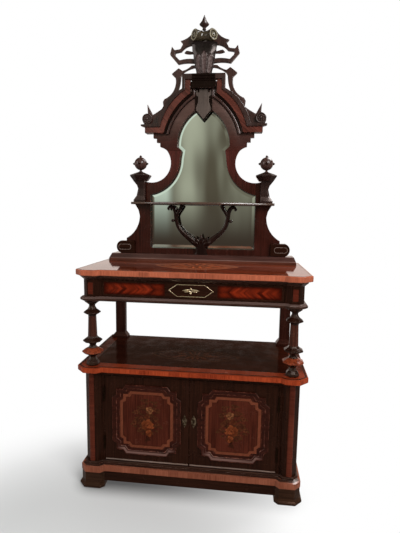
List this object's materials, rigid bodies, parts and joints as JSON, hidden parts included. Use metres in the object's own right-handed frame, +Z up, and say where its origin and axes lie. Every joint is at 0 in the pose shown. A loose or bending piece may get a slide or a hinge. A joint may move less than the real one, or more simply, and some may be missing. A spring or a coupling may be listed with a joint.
{
  "type": "chiffonier",
  "caption": "Tall ebonised and red-veneered side cabinet with a cupboard, an open shelf between turned columns, a frieze drawer and a fretted arched mirror back.",
  "frame": {"origin": "middle of the bounding box on the floor, under the cabinet", "axes": "+X to the right as seen from the front, +Y to the back, where the mirror stands, +Z up"},
  "size_m": [1.04, 0.526, 2.2474],
  "materials": {
    "ebonised": "gloss",
    "red_veneer": "gloss",
    "mahogany": "gloss",
    "marquetry": "gloss",
    "plain_timber": "matte",
    "brass": "satin",
    "steel": "satin",
    "mirror": "gloss"
  },
  "bodies": {
    "carcase": {"feet_front": "ebonised", "plinth_rails": "ebonised", "cabinet_floor": "ebonised", "corner_posts": "ebonised", "columns": "ebonised", "rear_pilasters": "ebonised", "frieze_base": "ebonised", "frieze_frame": "ebonised", "frieze_blocks": "ebonised", "mirror_base": "ebonised", "cornice": "ebonised", "crest_fret": "ebonised", "rosettes": "ebonised", "crest_shield": "ebonised", "crest_roll": "ebonised", "crest_finial": "ebonised", "cupboard_rail": "ebonised", "pedestals": "ebonised", "ball_finials": "ebonised", "shelf_bracket": "ebonised", "frame_scrolls": "ebonised", "plinth_band": "red_veneer", "waist_shelf": "red_veneer", "top_board": "red_veneer", "cornice_bands": "red_veneer", "mirror_frame_stiles": "mahogany", "mirror_frame_rail": "mahogany", "mirror_frame_head": "mahogany", "keystone": "mahogany", "mirror_shelf": "mahogany", "side_panels": "mahogany", "frieze_walls": "mahogany", "feet_rear": "plain_timber", "cabinet_back": "plain_timber", "inner_shelf": "plain_timber", "battens_and_runners": "plain_timber", "mirror_backboard": "plain_timber", "carcase_hinge_leaves": "brass", "hinge_pins": "steel", "mirror_glass": "mirror"},
    "drawer": {"drawer_front": "red_veneer", "drawer_walls": "plain_timber", "drawer_bottom": "plain_timber", "drawer_brasses": "brass", "drawer_lock_case": "steel"},
    "drawer_bolt": {"drawer_lock_bolt": "steel"},
    "left_door": {"left_door_frame": "ebonised", "left_door_panel": "marquetry", "left_door_moulding": "red_veneer", "left_door_escutcheon": "brass", "left_hinge_leaves": "brass", "slip_bolt_guide": "brass"},
    "right_door": {"right_door_frame": "ebonised", "right_door_panel": "marquetry", "right_door_moulding": "red_veneer", "right_door_escutcheon": "brass", "right_hinge_leaves": "brass", "door_lock_case": "steel"},
    "door_bolt": {"door_lock_bolt": "steel"},
    "left_bolt": {"slip_bolt": "brass"}
  },
  "joints": [
    {"name": "drawer_slide", "type": "slide", "parent": "carcase", "child": "drawer", "axis": [0, -1, 0], "range_m": [0, 0.28]},
    {"name": "drawer_bolt_slide", "type": "slide", "parent": "drawer", "child": "drawer_bolt", "axis": [0, 0, 1], "range_m": [0, 0.009]},
    {"name": "left_door_hinge", "type": "hinge", "parent": "carcase", "child": "left_door", "pos_m": [-0.399, -0.211, 0.3245], "axis": [0, 0, -1], "range_deg": [0, 105]},
    {"name": "right_door_hinge", "type": "hinge", "parent": "carcase", "child": "right_door", "pos_m": [0.399, -0.211, 0.3245], "axis": [0, 0, 1], "range_deg": [0, 105]},
    {"name": "door_bolt_slide", "type": "slide", "parent": "right_door", "child": "door_bolt", "axis": [-1, 0, 0], "range_m": [0, 0.012]},
    {"name": "slip_bolt_slide", "type": "slide", "parent": "left_door", "child": "left_bolt", "axis": [0, 0, 1], "range_m": [0, 0.014]}
  ]
}
